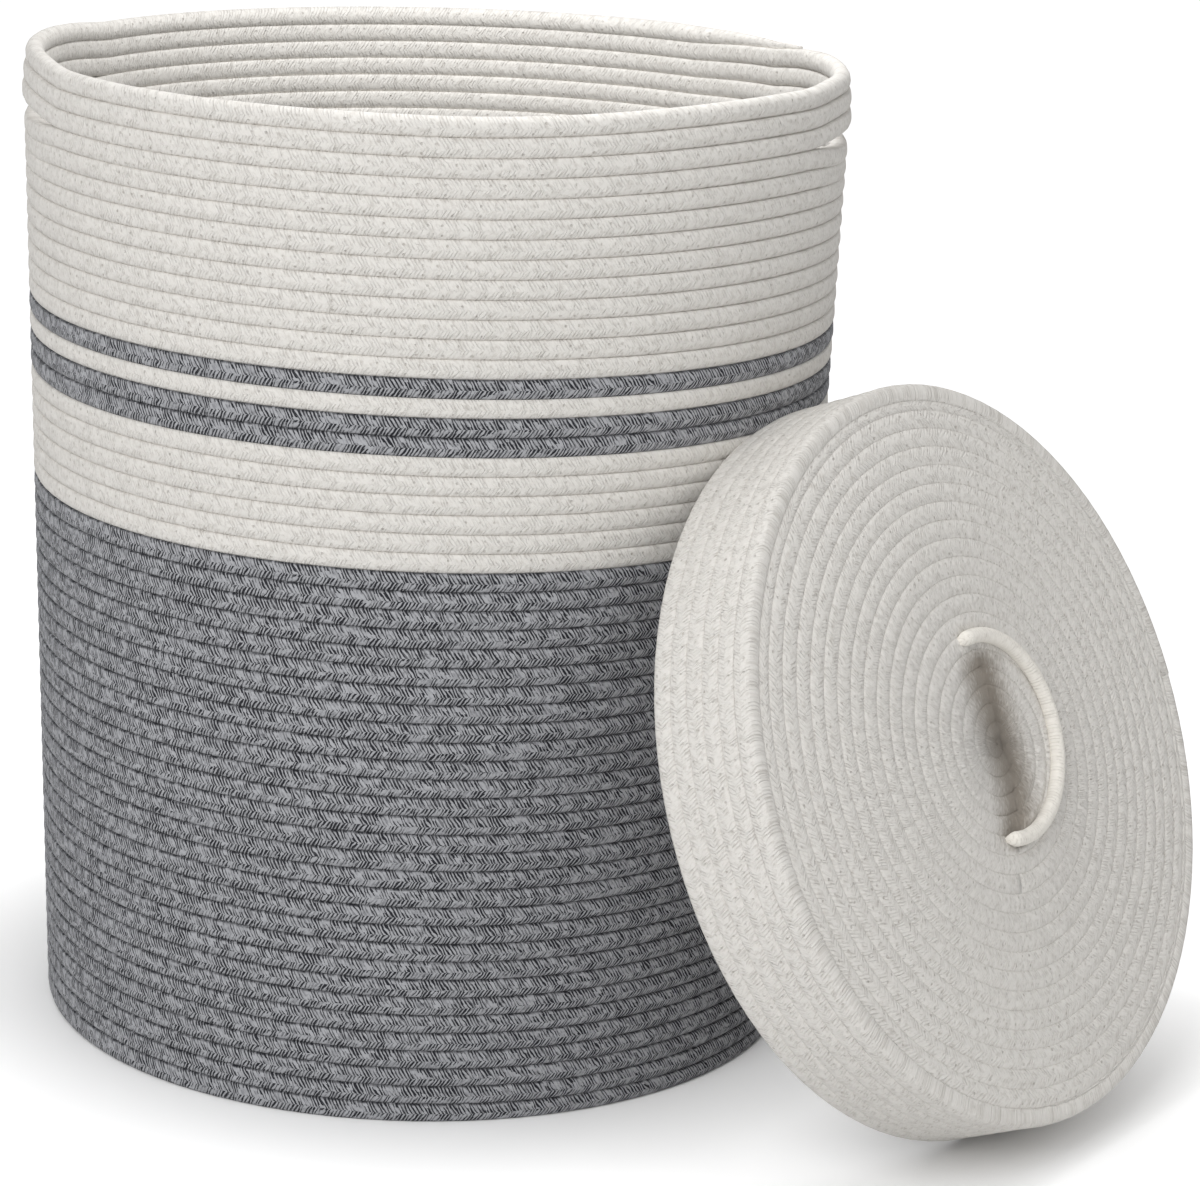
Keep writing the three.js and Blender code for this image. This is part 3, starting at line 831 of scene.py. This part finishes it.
class MakeLidCentre(bpy.types.Operator):
    """Sews the creased and sunk centre of the lid"""

    bl_idname = "basket.make_lid_centre"
    bl_label = "Lid centre"

    def execute(self, context):
        lid, rope = settings("lid"), settings("rope")
        outer, rows, inner = lid_spiral()
        last = rows + 1 + (inner - SPIRAL_EYE) / rope.diameter
        start, cream = lid_start(), cream_rope()
        piece = spiral_rope(
            "rope_lid_centre",
            (outer, SPIRAL_EYE),
            (rows, last),
            cream,
            lambda p: start @ p,
            lid.roundness,
            lid.pressed,
        )
        # Painted shade along the crease, stored on the points for the material to read
        painted_shade = piece.data.attributes.new("painted_shade", "FLOAT", "POINT")
        for vert, value in zip(piece.data.vertices, painted_shade.data):
            value.value = crease_painted_shade(vert.co.x, vert.co.y)
            vert.co = on_face(vert.co)
        dress(piece, "lid_handle_bowl", "lid")
        return {"FINISHED"}


class MakeLidLip(bpy.types.Operator):
    """Lays the thick lip of rope over one side of the lid's hollow"""

    bl_idname = "basket.make_lid_lip"
    bl_label = "Lid lip"

    def execute(self, context):
        lid, rope = settings("lid"), settings("rope")
        start, end = math.radians(lid.lip_start), math.radians(lid.lip_end)
        centre_x, centre_y = lid.lip_centre
        length = (start - end) * lid.lip_radius
        half = lid.lip_thickness / 2

        def point(share, angle):
            turn = start + (end - start) * share
            near_end = min(share, 1 - share) * length
            size = math.sqrt(min(1.0, LIP_END + near_end / half))
            up, out = section(angle, half * size, half * size, ROUND)
            radius = lid.lip_radius - lid.lip_tuck * abs(2 * share - 1) ** 3 + out
            x, y = centre_x + radius * math.cos(turn), centre_y + radius * math.sin(turn)
            z = rope.diameter / 2 + lid.lip_height - half * (1 - size) + bulge(x, y)
            return lid_matrix() @ Vector((x, y, z + up))

        piece = rope_sleeve("rope_lid_lip", length, LIP_STEPS, rope.sides, point, plain_rope())
        dress(piece, "lid_handle_rope", "lid")
        return {"FINISHED"}


# The studio

FLOOR_REACH = 6.0  # from the middle of the floor to its sides
CARD_WHITE = 0.9  # the floor's own colour
FLOOR_GLOW = 0.6  # what the background adds to it
SHADOW_REACH = 0.12  # how near the object the floor darkens
SHADOW_DEPTH = 2.4  # how steeply it does
WORLD_LIGHT = 0.47  # the strength of the even light from all round
# The name, place, size and power of each soft lamp
LAMPS = (
    ("key_lamp", (-1.3, -2.3, 2.3), 1.8, 40.0),
    ("fill_lamp", (2.0, -1.6, 2.2), 1.6, 8.0),
    ("front_lamp", (-0.6, -3.0, 1.4), 1.6, 11.0),
    ("mouth_lamp", (0.05, -0.05, 0.8), 0.3, 1.1),
)
LAMPS_AIM = (0.05, 0, 0.25)
# The camera was fitted to the basket's outline, to its rows and to the lid
CAMERA_PLACE = (0, -1.8896, 0.7326)
CAMERA_RIGHT = (0.99859, -0.03891, 0.03621)
CAMERA_UP = (-0.02473, 0.2629, 0.96451)
CAMERA_AHEAD = (0.04705, 0.96404, -0.26156)
CAMERA_LENS, CAMERA_SENSOR = 110.34, 36  # in millimetres


def background_rays(tree):
    """Is 1 for rays that show the background, straight, in gloss or through glass, and 0 for the rest."""
    shown = add(tree, "LightPath").outputs
    seen = add(tree, "Math", shown["Is Camera Ray"], shown["Is Glossy Ray"], operation="MAXIMUM")
    return add(tree, "Math", seen, shown["Is Transmission Ray"], operation="MAXIMUM")


def white_card():
    """Smooth white card: matt, and brighter as a background, so that it is white but for the shade on it."""
    material = bpy.data.materials.new("matt_white_card")
    material.use_nodes = True
    tree = material.node_tree
    tree.nodes.clear()
    colour = (CARD_WHITE, CARD_WHITE, CARD_WHITE, 1)
    card = add(tree, "BsdfPrincipled", named={"Base Color": colour, "Roughness": 0.9})
    near = add(tree, "AmbientOcclusion", named={"Distance": SHADOW_REACH}, samples=8)
    dim = add(tree, "Math", near.outputs["AO"], SHADOW_DEPTH, operation="POWER")
    seen = add(tree, "Math", background_rays(tree), dim, operation="MULTIPLY")
    glow = add(tree, "Emission", (1, 1, 1, 1), add(tree, "Math", seen, FLOOR_GLOW, operation="MULTIPLY"))
    add(tree, "OutputMaterial", add(tree, "AddShader", card, glow))
    return material


class MakeStudio(bpy.types.Operator):
    """Sets up the floor, the soft lamps and the camera"""

    bl_idname = "basket.make_studio"
    bl_label = "Studio"

    def execute(self, context):
        scene = bpy.context.scene
        bm = bmesh.new()
        bmesh.ops.create_grid(bm, x_segments=1, y_segments=1, size=FLOOR_REACH)
        mesh = bpy.data.meshes.new("floor")
        bm.to_mesh(mesh)
        bm.free()
        mesh.materials.append(white_card())
        floor = bpy.data.objects.new("floor", mesh)
        scene.collection.objects.link(floor)

        world = bpy.data.worlds.new("studio")
        scene.world = world
        world.use_nodes = True
        tree = world.node_tree
        tree.nodes.clear()
        strength = add(tree, "MapRange", background_rays(tree), 0.0, 1.0, WORLD_LIGHT, 1.0)
        add(tree, "OutputWorld", add(tree, "Background", (1, 1, 1, 1), strength))

        for name, place, size, power in LAMPS:
            light = bpy.data.lights.new(name, "AREA")
            light.size = size
            light.energy = power
            lamp = bpy.data.objects.new(name, light)
            lamp.location = place
            lamp.visible_camera = False
            lamp.rotation_euler = (Vector(LAMPS_AIM) - Vector(place)).to_track_quat("-Z", "Y").to_euler()
            scene.collection.objects.link(lamp)

        camera = bpy.data.cameras.new("camera")
        camera.sensor_width = CAMERA_SENSOR
        camera.lens = CAMERA_LENS
        eye = bpy.data.objects.new("camera", camera)
        axes = Vector(CAMERA_RIGHT), Vector(CAMERA_UP), -Vector(CAMERA_AHEAD)
        eye.matrix_world = Matrix.Translation(CAMERA_PLACE) @ Matrix(axes).transposed().to_4x4()
        scene.collection.objects.link(eye)
        scene.camera = eye
        scene.view_settings.view_transform = "Standard"
        return {"FINISHED"}


# The add-on

GROUPS = {"rope": RopeSizes, "wall": WallSizes, "lid": LidSizes, "finish": Finishes}
OPERATORS = (MakeWall, MakeBase, MakeLidSkirt, MakeLidFace, MakeLidCentre, MakeLidLip, MakeStudio)


class BasketPanel(bpy.types.Panel):
    """Lists the basket's pieces and its main sizes"""

    bl_idname = "VIEW3D_PT_basket"
    bl_label = "Rope basket"
    bl_space_type = "VIEW_3D"
    bl_region_type = "UI"
    bl_category = "Basket"

    def draw(self, context):
        for group in GROUPS:
            box = self.layout.box()
            for key in settings(group).bl_rna.properties.keys():
                if key not in ("rna_type", "name"):
                    box.prop(settings(group), key)
        for operator in OPERATORS:
            self.layout.operator(operator.bl_idname)


def register():
    for group in GROUPS.values():
        bpy.utils.register_class(group)
    for operator in OPERATORS:
        bpy.utils.register_class(operator)
    bpy.utils.register_class(BasketPanel)
    for name, group in GROUPS.items():
        setattr(bpy.types.Scene, "basket_" + name, PointerProperty(type=group))


def unregister():
    for name in GROUPS:
        delattr(bpy.types.Scene, "basket_" + name)
    bpy.utils.unregister_class(BasketPanel)
    for operator in reversed(OPERATORS):
        bpy.utils.unregister_class(operator)
    for group in GROUPS.values():
        bpy.utils.unregister_class(group)


def main():
    register()
    bpy.ops.basket.make_wall()
    bpy.ops.basket.make_base()
    bpy.ops.basket.make_lid_skirt()
    bpy.ops.basket.make_lid_face()
    bpy.ops.basket.make_lid_centre()
    bpy.ops.basket.make_lid_lip()
    bpy.ops.basket.make_studio()


if __name__ == "__main__":
    main()
